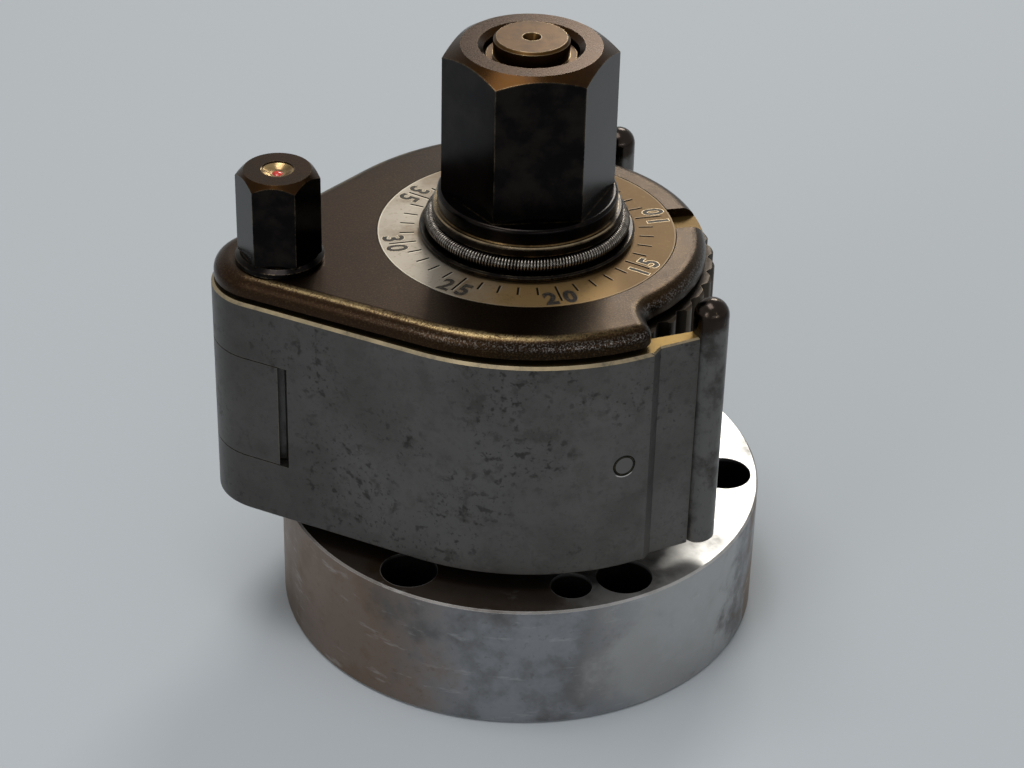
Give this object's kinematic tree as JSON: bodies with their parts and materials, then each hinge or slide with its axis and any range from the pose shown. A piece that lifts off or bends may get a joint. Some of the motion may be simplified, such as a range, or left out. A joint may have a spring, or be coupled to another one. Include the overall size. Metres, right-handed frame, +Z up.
{
  "type": "lathe tool post",
  "caption": "Quick-change lathe tool post: splined core on a round riser base, turning head with hinged jaws and eccentric clamp, graduated dial and large hex nut.",
  "frame": {"origin": "centre of the bolt circle on the base's underside, on the axis of the core and stud", "axes": "+Z up along the stud; +X towards the open side that takes the tool holder; the nose with the eccentric towards -X"},
  "size_m": [0.1742, 0.154, 0.1965],
  "materials": {
    "base_steel": "satin turned steel",
    "core_steel": "ground hardened steel",
    "dial_steel": "satin plated steel",
    "pin_steel": "ground steel",
    "stud_steel": "worn steel",
    "cover_brown": "browned and worn",
    "bronze": "bearing bronze",
    "jaw_grey": "mottled grey hardened steel",
    "bar_grey": "dark ground steel",
    "black_oxide": "glossy black oxide",
    "spring_steel": "bright wire",
    "oiler_brass": "polished",
    "oiler_red": "glossy"
  },
  "bodies": {
    "post": {"base_disk": "base_steel", "centre_stud": "stud_steel", "stud_pin": "pin_steel", "core_dowels": "pin_steel", "splined_core": "core_steel", "dial_pins": "pin_steel", "dial_ring": "dial_steel"},
    "head": {"cover_plate": "cover_brown", "cover_bush": "bronze", "lower_plate": "cover_brown", "lower_bush": "bronze"},
    "eccentric": {"eccentric_spindle": "black_oxide", "spindle_circlip": "spring_steel", "oiler_cup": "oiler_brass", "oiler_ball": "oiler_red", "oiler_spring": "spring_steel"},
    "jaw_hinge": {"hinge_bush": "bronze"},
    "front_arm": {"front_jaw": "jaw_grey", "front_clamp_bar": "bar_grey", "front_bar_pins": "pin_steel", "front_index_plug": "jaw_grey", "front_index_ball": "pin_steel", "front_index_spring": "spring_steel"},
    "rear_arm": {"rear_jaw": "jaw_grey", "rear_clamp_bar": "bar_grey", "rear_bar_pins": "pin_steel", "rear_index_plug": "jaw_grey", "rear_index_ball": "pin_steel", "rear_index_spring": "spring_steel"},
    "nut_seat": {"nut_washer": "black_oxide", "garter_spring": "spring_steel"},
    "nut": {"clamp_nut": "black_oxide"}
  },
  "joints": [
    {"name": "head_turn", "type": "hinge", "parent": "post", "child": "head", "pos_m": [0, 0, 0], "axis": [0, 0, 1], "continuous": true},
    {"name": "eccentric_turn", "type": "hinge", "parent": "head", "child": "eccentric", "pos_m": [-0.07665, -0.00302, 0.1314], "axis": [0, 0, 1], "range_deg": [0, 90]},
    {"name": "jaw_pull", "type": "slide", "parent": "head", "child": "jaw_hinge", "axis": [-1, 0, 0], "range_m": [0, 0.0017]},
    {"name": "front_jaw_swing", "type": "hinge", "parent": "jaw_hinge", "child": "front_arm", "pos_m": [-0.0758, -0.002, 0.086], "axis": [0, 0, -1], "range_deg": [0, 2]},
    {"name": "rear_jaw_swing", "type": "hinge", "parent": "jaw_hinge", "child": "rear_arm", "pos_m": [-0.0758, -0.002, 0.086], "axis": [0, 0, 1], "range_deg": [0, 2]},
    {"name": "nut_lift", "type": "slide", "parent": "post", "child": "nut_seat", "axis": [0, 0, 1], "range_m": [0, 0.007]},
    {"name": "nut_turn", "type": "hinge", "parent": "nut_seat", "child": "nut", "pos_m": [0, 0, 0.15], "axis": [0, 0, 1], "range_deg": [0, 720]}
  ],
  "couplings": [
    {"joint": "eccentric_turn", "follows": "jaw_pull", "rad_per_m": 925.58},
    {"joint": "nut_turn", "follows": "nut_lift", "rad_per_m": 1795.2}
  ]
}
